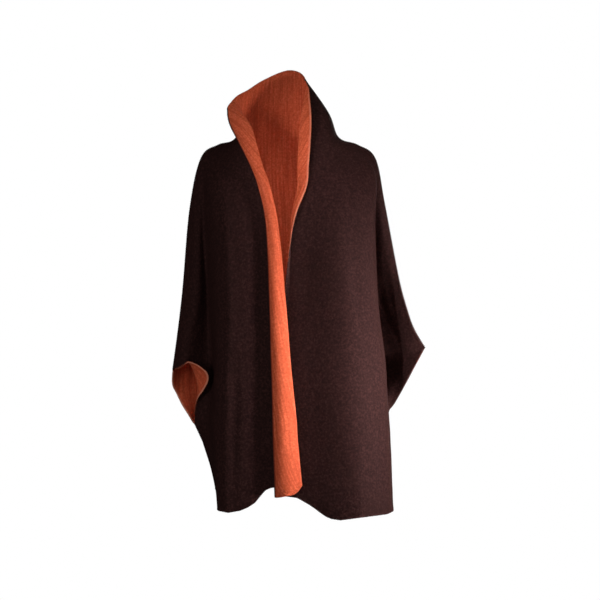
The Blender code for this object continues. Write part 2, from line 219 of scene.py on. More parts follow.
# The back edges of the vent and the cuffs between the seams: (section, across, up, depth).
RIGHT_BACK_CUFF = (
    (0.5, -183, -784, 14), (2.3, -239, -662, 28), (2.6, -256, -639, 40), (3.0, -269, -613, 42),
    (3.5, -278, -586, 24),
)
LEFT_BACK_CUFF = (
    (2.3, 254, -636, 26), (2.6, 266, -617, 36), (3.0, 290, -573, 34), (3.5, 311, -532, 14),
)

# The back's soft upright waves: how many, how deep at the hem (mm), the section where they end, how
# they fade up to it, and where across the back, from 0 to 1, one of them has its crest. The solid's
# columns between the lines of the back give the places across.
FLUTES, FLUTE_DEPTH, FLUTE_TOP, FLUTE_FADE, FLUTE_CREST = 3.2, 15.0, 7.0, 1.2, 0.46
SOLID_BACK_COLUMNS = (3, 3, 6, 6, 3, 3)

# %% [markdown]
# ## From lines to a sheet of points
# Each line becomes a smooth curve up the cape, and each row is a smooth curve through the lines,
# round the body from one front edge to the other. The curves are cubic, in pieces, and pass through
# every given point with the slope of its neighbours. A modifier could not do this, because the
# seams need exact ends and the lapel's roll a real radius. So the points are worked out here as
# arrays, a row every few millimetres.

# %% Curves through the lines
ROWS_BETWEEN = (34, 12, 22, 16, 30, 40, 22, 14, 12, 18, 24)
FRONT_LINES = (
    "edge", "middle", "lapel", "roll", "under", "trough", "crown", "crest", "valley", "sleeve", "seam",
)
FRONT_BETWEEN = (5, 5, 4, 4, 7, 11, 20, 14, 14, 14)
BACK_LINES = (
    "right seam", "right sleeve", "right fold", "middle", "left fold", "left sleeve", "left seam",
)
BACK_BETWEEN = (14, 14, 30, 30, 14, 14)
FRONT_COLUMNS, BACK_COLUMNS = (np.cumsum((0,) + steps) for steps in (FRONT_BETWEEN, BACK_BETWEEN))
ROLL, TROUGH, CREST = (FRONT_COLUMNS[FRONT_LINES.index(name)] for name in ("roll", "trough", "crest"))
HEM_FADE_COLUMNS = 18


def placed(points):
    """Points read from straight ahead, moved along the line of sight to their own depth."""
    points = np.array(points, float)
    reach = (EYE_DISTANCE + points[:, 2]) / EYE_DISTANCE
    across = EYE_ACROSS + (points[:, 0] - EYE_ACROSS) * reach
    up = EYE_UP + (points[:, 1] - EYE_UP) * reach
    return np.column_stack([across, points[:, 2], up])


def as_lying(points):
    points = np.array(points, float)
    return points[:, [0, 2, 1]]


def slopes(knots, points):
    """The slope at each point of a smooth curve through them all, one-sided at the ends."""
    steps = np.diff(knots)[:, None]
    rises = np.diff(points, axis=0) / steps
    inner = (rises[:-1] * steps[1:] + rises[1:] * steps[:-1]) / (steps[:-1] + steps[1:])
    first = 1.5 * rises[:1] - 0.5 * inner[:1]
    last = 1.5 * rises[-1:] - 0.5 * inner[-1:]
    return np.concatenate([first, inner, last])


def curve(knots, points, where):
    """Places on the smooth curve through the points, at the given values of its knots."""
    knots, points = np.asarray(knots, float), np.asarray(points, float)
    slope = slopes(knots, points)
    span = np.clip(np.searchsorted(knots, where, side="right") - 1, 0, len(knots) - 2)
    width = (knots[span + 1] - knots[span])[:, None]
    part = ((where - knots[span]) / width[:, 0])[:, None]
    start = (1 + 2 * part) * (1 - part) ** 2 * points[span]
    start += part * (1 - part) ** 2 * width * slope[span]
    end = part**2 * (3 - 2 * part) * points[span + 1]
    end += part**2 * (part - 1) * width * slope[span + 1]
    return start + end


def line_places(sections, points, corners=()):
    """A line up the cape, with a place for each row. It may turn sharply at the corner sections."""
    stops = sorted({sections[0], sections[-1], *(c for c in corners if c in sections)})
    places = np.zeros((len(row_sections), 3))
    for low, high in zip(stops, stops[1:]):
        pick = [i for i, s in enumerate(sections) if low <= s <= high]
        rows = (row_sections >= low) & (row_sections <= high)
        if len(pick) == 2:
            part = ((row_sections[rows] - low) / (high - low))[:, None]
            places[rows] = points[pick[0]] * (1 - part) + points[pick[1]] * part
        else:
            places[rows] = curve(np.array(sections)[pick], points[pick], row_sections[rows])
    return places


def seam_line(table, cuff, move):
    """The outer edge of a panel: up the vent and side seam, round its cuff, and up to the collar."""
    marks = [(s, *point) for s, point in enumerate(table) if not UNDERARM < s < CUFF_TOP]
    marks = sorted(marks + list(cuff))
    points = move([mark[1:] for mark in marks])
    return line_places([float(mark[0]) for mark in marks], points, (VENT_TOP, UNDERARM, CUFF_TOP))


section_values = [s + i / count for s, count in enumerate(ROWS_BETWEEN) for i in range(count)]
row_sections = np.array(section_values + [float(COLLAR_TOP)])
sewn = ((row_sections >= VENT_TOP) & (row_sections <= UNDERARM)) | (row_sections >= CUFF_TOP)
print("rows:", len(row_sections), "of which sewn at the sides:", int(sewn.sum()))

# %% Rows across a panel


def unit(vectors):
    length = np.linalg.norm(vectors, axis=-1, keepdims=True)
    return vectors / np.maximum(length, 1e-9)


def row_curve(points, before, after, columns):
    """A row through the points. Before and after are the next points past a sewn edge, or None."""
    full = np.array([p for p in (before, *points, after) if p is not None])
    first = 0 if before is None else 1
    steps = np.sqrt(np.linalg.norm(np.diff(full, axis=0), axis=1))
    knots = np.concatenate([[0.0], np.cumsum(steps)])
    where = []
    for line, count in enumerate(columns, start=first):
        where += list(knots[line] + np.arange(count) / count * (knots[line + 1] - knots[line]))
    where.append(knots[first + len(columns)])
    places = curve(knots, full, np.array(where))
    if before is not None:
        along = unit(full[2] - full[0])
        places[0] = points[0] + along * SEAM_GAP / 2
        places[1] = points[0] + along * (SEAM_GAP / 2 + SEAM_FLAT)
    if after is not None:
        along = unit(full[-1] - full[-3])
        places[-1] = points[-1] - along * SEAM_GAP / 2
        places[-2] = points[-1] - along * (SEAM_GAP / 2 + SEAM_FLAT)
    return places


def front_points(lines, i):
    """The points of one row of a front, with the lapel's fold opened to its radius."""
    edge, roll, trough = lines["edge"][i], lines["roll"][i], lines["trough"][i]
    to_trough, to_edge = unit(trough - roll), unit(edge - roll)
    reach = ROLL_SHARE * min(np.linalg.norm(edge - roll), np.linalg.norm(trough - roll))
    reach = min(ROLL_RADIUS, reach)
    lapel = roll + to_edge * reach * ROLL_OPEN
    under = roll + to_trough * reach * ROLL_OPEN
    spread = lapel - under
    if np.dot(to_trough, to_edge) > 0:
        short = max(2 * reach - np.linalg.norm(spread), 0)
        lapel = lapel + unit(spread) * short / 2
        under = under - unit(spread) * short / 2
    middle = (edge + lapel) / 2
    width = np.linalg.norm(lapel - edge)
    middle[1] -= LAPEL_SWELL * width * min(1.0, width / WIDE_LAPEL)
    return [edge, middle, lapel, roll, under] + [lines[name][i] for name in FRONT_LINES[5:]]


def hem_height(hem, places):
    """The height of the hem at these places, where it shows at its own height from straight ahead."""
    hem = np.array(hem, float)
    reach = (EYE_DISTANCE + places[:, 1]) / EYE_DISTANCE
    across = EYE_ACROSS + (places[:, 0] - EYE_ACROSS) / reach
    return EYE_UP + (np.interp(across, hem[:, 0], hem[:, 1]) - EYE_UP) * reach


def cut_hem(grid, lapel_hem, hem):
    """Shortens or lengthens each column of a front below the vent's top, to end at its hem."""
    change = np.zeros(grid.shape[1])
    change[:CREST] = hem_height(hem, grid[0, :CREST]) - grid[0, :CREST, 2]
    if lapel_hem:
        change[:ROLL + 1] = hem_height(lapel_hem, grid[0, :ROLL + 1]) - grid[0, :ROLL + 1, 2]
    rest = np.arange(grid.shape[1] - CREST)
    change[CREST:] = change[CREST - 1] * np.maximum(0.0, 1 - rest / HEM_FADE_COLUMNS)
    share = np.clip(1 - row_sections / VENT_TOP, 0, 1)
    grid[:, :, 2] += share[:, None] * change


# %% The three panels as grids of points
sections = [float(s) for s in range(COLLAR_TOP + 1)]
back_lines = [seam_line(BACK["right seam"], RIGHT_BACK_CUFF, as_lying)]
back_lines += [line_places(sections, as_lying(BACK[name])) for name in BACK_LINES[1:-1]]
back_lines += [seam_line(BACK["left seam"], LEFT_BACK_CUFF, as_lying)]


def front_grid(table, cuff, lapel_hem, hem, beyond):
    """A front's points. Beyond is the back's first line past the seam."""
    lines = {name: line_places(sections, placed(table[name])) for name in table if name != "seam"}
    lines["seam"] = seam_line(table["seam"], cuff, placed)
    grid = []
    for i, is_sewn in enumerate(sewn):
        after = beyond[i] if is_sewn else None
        grid.append(row_curve(front_points(lines, i), None, after, FRONT_BETWEEN))
    grid = np.array(grid)
    cut_hem(grid, lapel_hem, hem)
    return grid, lines


def back_grid(lines, right_lines, left_lines):
    """The back's points, with its soft upright waves."""
    lines[0][sewn] = right_lines["seam"][sewn]
    lines[-1][sewn] = left_lines["seam"][sewn]
    grid = []
    for i, is_sewn in enumerate(sewn):
        before, after = (side["sleeve"][i] if is_sewn else None for side in (right_lines, left_lines))
        grid.append(row_curve([line[i] for line in lines], before, after, BACK_BETWEEN))
    grid = np.array(grid)
    solid_columns = np.cumsum((0,) + SOLID_BACK_COLUMNS) / sum(SOLID_BACK_COLUMNS)
    across = np.interp(np.arange(grid.shape[1]), BACK_COLUMNS, solid_columns)
    deep = FLUTE_DEPTH * np.clip(1 - row_sections / FLUTE_TOP, 0, 1) ** FLUTE_FADE
    wave = np.cos(2 * np.pi * FLUTES * (across - FLUTE_CREST)) * np.sin(np.pi * across) ** 2
    grid[:, :, 1] += deep[:, None] * wave
    return grid


right_grid, right_lines = front_grid(RIGHT_FRONT, RIGHT_CUFF, RIGHT_LAPEL_HEM, RIGHT_HEM, back_lines[1])
left_grid, left_lines = front_grid(LEFT_FRONT, LEFT_CUFF + LEFT_FLARE, None, LEFT_HEM, back_lines[-2])
grids = {
    "back": back_grid(back_lines, right_lines, left_lines),
    "right_front": right_grid,
    "left_front": left_grid,
}
for name, grid in grids.items():
    print(name, "grid:", grid.shape[0], "rows of", grid.shape[1], "points")

# %% [markdown]
# ## Softening
# A curve in pieces keeps its slope but not its bend from piece to piece, and wool does not show
# such places. Each point is moved towards the middle of its neighbours a few times, as the
# Smooth modifier would do. Doing it here keeps the edges, the seams and the lapel's fold where
# they are.

# %% Soften each panel
# How often, and over how many columns the softening rises beside a fixed one. It stops in a few
# columns at the sides, where the seams have their corners.
SOFTENING_PASSES, HOLD_COLUMNS = 24, 6
CORNER_COLUMNS, CORNER_SECTIONS = 8, 0.08


def soften(grid, fixed_columns):
    """Evens out the bend of the cloth, away from its edges and the given columns."""
    count = grid.shape[1]
    places = np.arange(count)
    hold = np.ones(count)
    for column in fixed_columns:
        hold = np.minimum(hold, np.clip(np.abs(places - column) / HOLD_COLUMNS, 0, 1))
    weight = np.tile(hold, (len(grid), 1))
    weight[:2] = weight[-2:] = 0
    near_side = (places < CORNER_COLUMNS) | (places >= count - CORNER_COLUMNS)
    for corner in (VENT_TOP, UNDERARM, CUFF_TOP):
        near_corner = np.abs(row_sections - corner) < CORNER_SECTIONS
        weight[np.ix_(near_corner, near_side)] = 0
    for _ in range(SOFTENING_PASSES):
        middle = grid.copy()
        middle[1:-1, 1:-1] = (grid[:-2, 1:-1] + grid[2:, 1:-1] + grid[1:-1, :-2] + grid[1:-1, 2:]) / 4
        grid += 0.5 * weight[:, :, None] * (middle - grid)


for name in ("right_front", "left_front"):
    soften(grids[name], (0, *FRONT_COLUMNS[2:5], FRONT_COLUMNS[-1] - 1, FRONT_COLUMNS[-1]))
soften(grids["back"], (0, 1, BACK_COLUMNS[-1] - 1, BACK_COLUMNS[-1]))
print("softened", len(grids), "panels")

# %% [markdown]
# ## Creases and unevenness
# Thick wool makes few creases, all soft. They lie where the cloth is bent by its own weight: above
# a cuff, at the underarm, behind the crest of the front and down the back. They could come from a
# cloth simulation, but they would then fall where they like. So each crease is given as a path
# over the panel, with its width and depth in mm. A trough has a low ridge along both of its
# sides, its depth changes along it, and it fades out at both ends.

# %% Creases as given
# Each row is (path as (section, line) pairs, width, depth); lines are counted as in FRONT_LINES
# and BACK_LINES. A negative depth goes into the body, a positive one stands out.
CREASES = {
    "right_front": (
        (((4.30, 9.25), (4.17, 9.60)), 7.0, -3.0),
        (((4.60, 8.60), (4.35, 8.90), (4.2, 9.10)), 9.0, -2.0),
        (((6.9, 7.90), (6.2, 8.15), (5.3, 8.20)), 13.0, -3.0),
        (((4.9, 9.30), (5.6, 9.20), (6.3, 9.35)), 12.0, 2.2),
        (((8.9, 6.10), (8.2, 6.50), (7.4, 6.70)), 15.0, -2.2),
        (((0.0, 6.45), (1.2, 6.40), (2.6, 6.35), (3.6, 6.42)), 16.0, -2.6),
        (((0.0, 7.20), (0.9, 7.25), (2.0, 7.30)), 12.0, 2.0),
        (((4.2, 6.55), (5.4, 6.60), (6.2, 6.50)), 17.0, 1.8),
    ),
    "left_front": (
        (((4.02, 9.20), (4.5, 8.80), (5.1, 8.50)), 10.0, -3.2),
        (((4.4, 9.75), (4.9, 9.50), (5.7, 9.40)), 12.0, 2.4),
        (((6.9, 7.90), (6.0, 8.20), (5.2, 8.25)), 13.0, -3.0),
        (((8.9, 6.20), (8.2, 6.60), (7.3, 6.75)), 15.0, -2.4),
        (((0.0, 6.60), (1.0, 6.55), (2.4, 6.50), (3.7, 6.55)), 18.0, -2.6),
        (((4.4, 6.30), (5.4, 6.25), (6.3, 6.35)), 16.0, -2.0),
        (((2.2, 6.90), (3.2, 6.95), (4.6, 6.90)), 12.0, 1.8),
    ),
    "back": (
        (((7.6, 0.9), (6.6, 1.35), (5.4, 1.7), (4.4, 1.9)), 16.0, -3.5),
        (((7.6, 5.1), (6.6, 4.65), (5.4, 4.3), (4.4, 4.1)), 16.0, -3.5),
        (((4.05, 0.5), (4.7, 0.95), (5.6, 1.2)), 12.0, -3.0),
        (((4.05, 5.5), (4.7, 5.05), (5.6, 4.8)), 12.0, -3.0),
        (((9.3, 2.5), (9.0, 3.0), (9.3, 3.5)), 12.0, -2.6),
        (((9.9, 2.2), (9.7, 3.0), (9.9, 3.8)), 14.0, 1.8),
        (((8.6, 2.6), (7.6, 2.75), (6.2, 2.7)), 20.0, -2.4),
        (((8.6, 3.4), (7.4, 3.3), (6.4, 3.35)), 20.0, -2.0),
        (((2.2, 0.6), (2.8, 1.0), (3.6, 1.25)), 12.0, 2.2),
        (((2.2, 5.4), (2.8, 5.0), (3.6, 4.75)), 12.0, 2.2),
    ),
}
RIPPLE_DEPTH, RIPPLE_LENGTH = 0.9, 70.0
# Points along a path, columns beside it that may move, and the calm strip at the edges (mm) and at
# the foot of the lapel (columns).
PATH_POINTS, CREASE_COLUMNS, CALM_EDGE, CALM_COLUMNS = 40, 12, 30, 8
# The ridges beside a trough, how a crease fades at its ends, and how its depth changes along it.
RIDGE, FADE_START, FADE_SPAN, FADE_POWER = 0.9, 0.04, 0.92, 0.7
EVEN_DEPTH, UNEVEN_DEPTH, UNEVEN_STEP, SEED_STEP = 0.75, 0.5, 2.6, 7.3
COLUMNS = {"back": BACK_COLUMNS, "right_front": FRONT_COLUMNS, "left_front": FRONT_COLUMNS}
TURNED = {"back": -1, "right_front": -1, "left_front": 1}


def outward(grid, turned):
    """The unit normals of a grid. Turned is 1 where rows times columns already point outward."""
    across = np.gradient(grid, axis=1)
    up = np.gradient(grid, axis=0)
    return unit(np.cross(across, up)) * turned


def lengths(grid, axis):
    """How far each point lies along the cloth from the first one, in the direction of an axis."""
    step = np.linalg.norm(np.diff(grid, axis=axis), axis=-1)
    start = np.zeros_like(np.take(step, [0], axis=axis))
    return np.concatenate([start, np.cumsum(step, axis=axis)], axis=axis)


def on_sheet(grid, columns, path):
    """Points along a path given as (section, line) pairs, and the columns they lie on."""
    path = np.array(path, float)
    where = np.linspace(0, len(path) - 1, PATH_POINTS)
    section = np.interp(where, np.arange(len(path)), path[:, 0])
    line = np.interp(where, np.arange(len(path)), path[:, 1])
    i = np.interp(section, row_sections, np.arange(len(row_sections)))
    j = np.interp(line, np.arange(len(columns)), columns)
    i0 = np.minimum(i.astype(int), grid.shape[0] - 2)
    j0 = np.minimum(j.astype(int), grid.shape[1] - 2)
    di, dj = (i - i0)[:, None], (j - j0)[:, None]
    low = grid[i0, j0] * (1 - dj) + grid[i0, j0 + 1] * dj
    high = grid[i0 + 1, j0] * (1 - dj) + grid[i0 + 1, j0 + 1] * dj
    return low * (1 - di) + high * di, j


def crease(grid, columns, path, width, depth, seed):
    """How far each point moves outward for one crease."""
    points, crossed = on_sheet(grid, columns, path)
    first, last = int(crossed.min()) - CREASE_COLUMNS, int(crossed.max()) + CREASE_COLUMNS
    near = np.zeros(grid.shape[:2], bool)
    near[:, max(first, 0):last + 1] = True
    away = np.linalg.norm(grid[near][:, None] - points[None], axis=2)
    along = away.argmin(axis=1) / (len(points) - 1)
    reach = away.min(axis=1) / width
    profile = (1 - RIDGE * reach**2) * np.exp(-reach**2)
    fade = np.clip(np.sin(np.pi * (FADE_START + FADE_SPAN * along)), 0, 1) ** FADE_POWER
    places = [Vector((a * UNEVEN_STEP, seed * SEED_STEP, 0.5)) for a in along]
    uneven = np.array([EVEN_DEPTH + UNEVEN_DEPTH * noise.noise(place) for place in places])
    move = np.zeros(grid.shape[:2])
    move[near] = depth * profile * fade * uneven
    return move


def give_creases(name, grid):
    """Moves the cloth by its creases and ripples, but not at its seams, edges and lapel."""
    move = np.zeros(grid.shape[:2])
    for seed, (path, width, depth) in enumerate(CREASES[name]):
        move += crease(grid, COLUMNS[name], path, width, depth, seed)
    scaled = grid.reshape(-1, 3) / RIPPLE_LENGTH
    ripple = [noise.noise(Vector(p)) + 0.4 * noise.noise(Vector(p * 2.7)) for p in scaled]
    move += RIPPLE_DEPTH * np.array(ripple).reshape(move.shape)
    from_first = lengths(grid, 1)
    from_last = from_first[:, -1:] - from_first
    calm = np.clip(np.minimum(from_first, from_last) / CALM_EDGE, 0, 1) ** 1.5
    if name != "back":
        from_trough = np.arange(grid.shape[1]) - TROUGH
        calm *= np.clip((from_trough + CALM_COLUMNS) / (2 * CALM_COLUMNS), 0, 1)
    move *= calm
    grid += outward(grid, TURNED[name]) * move[:, :, None]
    print(name, "creases:", len(CREASES[name]), "deepest", round(float(np.abs(move).max()), 1), "mm")


for name, grid in grids.items():
    give_creases(name, grid)

# %% [markdown]
# ## From a sheet to a knitted wall
# The real cloth is two knitted faces held together, about 3 mm thick, and its cut edges are linked
# and so look round. The Solidify modifier would leave a square edge. So the wall is built straight
# from the points: the outer and the inner face lie half the thickness either side, and a small
# half circle of faces goes round the whole border. The outer half of that edge is aubergine and the
# inner half rust. Each point also gets its place on the flat cloth in metres as a UV map, so that
# the knit follows the folds, its distance from the nearest open edge, and a tone: above 0 a painted
# highlight pales the edge, standing for the sheen that grazing light raises on its nap, and below 0
# the dark face laps round it.

# %% Walls with rounded edges
# The tone at the cuffs and at the front edge of each panel: above 0 it is a painted highlight, a
# pale line for the sheen of the edge's nap, and below 0 the dark face lapping round. It is full close
# to the edge and fades over the length that follows, in mm. The front edge's tone takes the place of
# any other in a band, and the back's left cuff has the opposite tone of its right one.
EDGE_STEPS = 6
EDGE_TONES = {"back": (0.7, 0.0), "right_front": (0.7, -1.0), "left_front": (-0.7, 0.5)}
CUFF_REACH, CUFF_FADE = 3.2, 2.5
FRONT_REACH, FRONT_FADE, FRONT_BAND = 2.4, 1.4, 6


def trimmed(points, trim):
    """A line of points drawn in by the same length at both ends."""
    along = lengths(points, 0)
    wanted = trim + along * (along[-1] - 2 * trim) / along[-1]
    return np.column_stack([np.interp(wanted, along, points[:, k]) for k in range(3)])


def draw_in(grid, trim):
    """Moves the border in by the radius of the rounded edge, so that the wall ends on the old one."""
    rows = np.array([trimmed(row, trim) for row in grid])
    columns = [trimmed(rows[:, j], trim) for j in range(rows.shape[1])]
    return np.stack(columns, axis=1)


def border(rows, columns):
    """The border's (row, column) pairs, once round, with the rows upward on the last column."""
    loop = [(0, j) for j in range(columns)]
    loop += [(i, columns - 1) for i in range(1, rows)]
    loop += [(rows - 1, j) for j in range(columns - 2, -1, -1)]
    loop += [(i, 0) for i in range(rows - 2, 0, -1)]
    return np.array(loop)


def border_outward(grid, normals, loop):
    """At each border point, the direction along the cloth and away from it."""
    rows, columns = grid.shape[:2]
    out = np.zeros((len(loop), 3))
    for k, (i, j) in enumerate(loop):
        if j == 0:
            out[k] += unit(grid[i, 0] - grid[i, 1])
        if j == columns - 1:
            out[k] += unit(grid[i, -1] - grid[i, -2])
        if i == 0:
            out[k] += unit(grid[0, j] - grid[1, j])
        if i == rows - 1:
            out[k] += unit(grid[-1, j] - grid[-2, j])
    normal = normals[loop[:, 0], loop[:, 1]]
    out -= normal * np.sum(out * normal, axis=1, keepdims=True)
    return unit(out)


def wall(name, grid, turned):
    """The mesh of one panel, with its border as (places, outward, normal) for the stitches."""
    grid = draw_in(grid, WALL / 2)
    rows, columns = grid.shape[:2]
    normals = outward(grid, turned)
    loop = border(rows, columns)
    out = border_outward(grid, normals, loop)
    centre = grid[loop[:, 0], loop[:, 1]]
    normal = normals[loop[:, 0], loop[:, 1]]
    points = [(grid + normals * WALL / 2).reshape(-1, 3), (grid - normals * WALL / 2).reshape(-1, 3)]
    for step in range(1, EDGE_STEPS):
        angle = math.pi * step / EDGE_STEPS
        points.append(centre + (normal * math.cos(angle) + out * math.sin(angle)) * WALL / 2)
    a = (np.arange(rows - 1)[:, None] * columns + np.arange(columns - 1)[None]).ravel()
    outer = np.column_stack([a, a + 1, a + columns + 1, a + columns])
    inner = outer[:, ::-1] + rows * columns
    flat_loop = loop[:, 0] * columns + loop[:, 1]
    rings = [flat_loop]
    for step in range(1, EDGE_STEPS):
        rings.append(2 * rows * columns + (step - 1) * len(loop) + np.arange(len(loop)))
    rings.append(flat_loop + rows * columns)
    edge, edge_side = [], []
    for step, (upper, lower) in enumerate(zip(rings, rings[1:])):
        edge.append(np.column_stack([np.roll(upper, -1), upper, lower, np.roll(lower, -1)]))
        edge_side += [0 if step < EDGE_STEPS / 2 else 1] * len(loop)
    faces = np.concatenate([outer, inner, *edge])
    if turned < 0:
        faces = faces[:, ::-1]
    side = np.array([0] * len(outer) + [1] * len(inner) + edge_side)
    mesh = bpy.data.meshes.new(name)
    mesh.from_pydata((np.concatenate(points) * MM).tolist(), [], faces.tolist())
    mesh.polygons.foreach_set("material_index", side)
    mesh.polygons.foreach_set("use_smooth", np.ones(len(faces), bool))
    mark_cloth(mesh, name, grid, loop)
    return mesh, (centre, out, normal, loop)


def mark_cloth(mesh, name, grid, loop):
    """Writes each point's flat place as a UV map, its distance from the open edges and its tone."""
    from_first, from_hem = lengths(grid, 1), lengths(grid, 0)
    from_last = from_first[:, -1:] - from_first
    middle = grid.shape[1] // 2
    cuff_row = int(np.searchsorted(row_sections, CUFF_TOP))
    across = from_first - from_first[:, middle:middle + 1]
    up = from_hem - from_hem[cuff_row:cuff_row + 1]
    side = np.minimum(from_first, from_last) if name == "back" else from_last
    open_edge = np.minimum(from_hem, from_hem[-1:] - from_hem)
    open_edge = np.minimum(open_edge, np.where(sewn[:, None], np.inf, side))
    cuff = (row_sections > UNDERARM) & (row_sections < CUFF_TOP)
    cuff_tone, front_tone = EDGE_TONES[name]
    # painted highlight: a tone above 0 pales the rust face along cuffs and front edges, as grazing light
    # would
    tone = cuff_tone * np.clip((CUFF_REACH - side) / CUFF_FADE, 0, 1) * cuff[:, None]
    if name == "back":
        tone[:, middle + 1:] *= -1
    else:
        open_edge = np.minimum(open_edge, from_first)
        front = front_tone * np.clip((FRONT_REACH - from_first) / FRONT_FADE, 0, 1)
        tone = np.where(from_first < FRONT_BAND, front, tone)
    for label, values in (("open_edge", open_edge * MM), ("edge_tone", tone)):
        on_loop = values[loop[:, 0], loop[:, 1]]
        values = np.concatenate([values.ravel()] * 2 + [on_loop] * (EDGE_STEPS - 1))
        mesh.attributes.new(label, "FLOAT", "POINT").data.foreach_set("value", values)
    flat = np.stack([across, up], axis=-1) * MM
    on_loop = flat[loop[:, 0], loop[:, 1]]
    flat = np.concatenate([flat.reshape(-1, 2)] * 2 + [on_loop] * (EDGE_STEPS - 1))
    corner_points = np.zeros(len(mesh.loops), int)
    mesh.loops.foreach_get("vertex_index", corner_points)
    mesh.uv_layers.new(name="cloth").data.foreach_set("uv", flat[corner_points].ravel())


panels, borders = {}, {}
for name, grid in grids.items():
    mesh, borders[name] = wall(name, grid, TURNED[name])
    panels[name] = bpy.data.objects.new(name + "_cloth", mesh)
    bpy.context.scene.collection.objects.link(panels[name])

# %% [markdown]
# ## Double-face wool knit
# The cloth is fine lambswool, knitted as a double face: an aubergine jersey outside and a rust one
# inside, steamed and lightly felted. So it is matt, with a soft sheen where the light grazes its
# short nap. Close up there are columns of V stitches, wales about 2 mm apart. From where the camera
# stands that is finer than a pixel, so both are drawn a little coarser. Aubergine yarn is a heather:
# single wine and rust fibres show in it as fine specks. The stitches could be real loops of yarn,
# but there are half a million of them, so they are a pattern of bumps on the flat cloth's UV map.

# %% Colours and nodes
# Metres, and how a stitch is shaped: its V's slant, its yarn's roundness and its column's depth.
WALE, COURSE, FIBRE_SIZE, RELIEF = 0.0032, 0.0028, 0.0022, 0.0007
V_SLANT, YARN_ROUND, COLUMN_DEPTH, NAP = 1.1, 0.7, 0.6, 0.5
AUBERGINE, AUBERGINE_DEEP, WINE_FIBRE = "#3a2220", "#291817", "#593835"
RUST, RUST_DEEP, RUST_PALE = "#ea6d49", "#c75535", "#f0a487"


def linear(code):
    """An sRGB hex colour as linear red, green, blue and alpha."""
    parts = [int(code[k:k + 2], 16) / 255 for k in (1, 3, 5)]
    return (*(p / 12.92 if p <= 0.04045 else ((p + 0.055) / 1.055) ** 2.4 for p in parts), 1.0)


def add_node(tree, kind, settings, inputs):
    """A node with its settings, and its inputs set to values or joined to sockets."""
    node = tree.nodes.new(kind)
    for key, value in settings.items():
        setattr(node, key, value)
    for key, value in inputs.items():
        if isinstance(value, bpy.types.NodeSocket):
            tree.links.new(value, node.inputs[key])
        else:
            node.inputs[key].default_value = value
    return node


def worked(tree, operation, *values):
    """The result of one sum on numbers or sockets."""
    return add_node(tree, "ShaderNodeMath", {"operation": operation}, dict(enumerate(values))).outputs[0]


def mixed(tree, share, first, second):
    node = add_node(tree, "ShaderNodeMix", {"data_type": "RGBA"}, {"Factor": share, 6: first, 7: second})
    return node.outputs[2]


def knit_height(tree):
    """The height of V stitches, from 0 between them to 1 on the yarn, on the flat cloth."""
    flat = add_node(tree, "ShaderNodeUVMap", {"uv_map": "cloth"}, {})
    place = add_node(tree, "ShaderNodeSeparateXYZ", {}, {0: flat.outputs[0]})
    across = worked(tree, "FRACT", worked(tree, "DIVIDE", place.outputs[0], WALE))
    leg = worked(tree, "ABSOLUTE", worked(tree, "SUBTRACT", across, 0.5))
    slant = worked(tree, "MULTIPLY_ADD", leg, V_SLANT, worked(tree, "DIVIDE", place.outputs[1], COURSE))
    yarn = worked(tree, "ABSOLUTE", worked(tree, "SINE", worked(tree, "MULTIPLY", slant, math.pi)))
    column = worked(tree, "SINE", worked(tree, "MULTIPLY", leg, 2 * math.pi))
    column = worked(tree, "MULTIPLY_ADD", column, COLUMN_DEPTH, 1 - COLUMN_DEPTH)
    return worked(tree, "MULTIPLY", worked(tree, "POWER", yarn, YARN_ROUND), column)


def spots(tree, size, detail, seed):
    """Smooth noise whose blobs are about this size in metres, the same on both faces."""
    place = add_node(tree, "ShaderNodeTexCoord", {}, {}).outputs["Object"]
    settings = {"Vector": place, "Location": (seed, seed * 0.7, 0.0)}
    moved = add_node(tree, "ShaderNodeMapping", {}, settings)
    settings = {"Vector": moved.outputs[0], "Scale": 1 / size, "Detail": detail, "Roughness": 0.6}
    return add_node(tree, "ShaderNodeTexNoise", {}, settings).outputs["Fac"]


def streaks(tree, width, length, seed):
    """Smooth noise drawn out along the wales of the flat cloth, with its sizes in metres."""
    place = add_node(tree, "ShaderNodeUVMap", {"uv_map": "cloth"}, {}).outputs[0]
    settings = {"Vector": place, "Scale": (1 / width, 1 / length, 1.0), "Location": (seed, seed, seed)}
    moved = add_node(tree, "ShaderNodeMapping", {}, settings)
    settings = {"Vector": moved.outputs[0], "Scale": 1.0, "Detail": 2.0, "Roughness": 0.5}
    return add_node(tree, "ShaderNodeTexNoise", {}, settings).outputs["Fac"]


def between(tree, value, low, high):
    """0 below low, 1 above high and a straight rise between them."""
    node = add_node(tree, "ShaderNodeMapRange", {}, {"Value": value, "From Min": low, "From Max": high})
    return node.outputs[0]
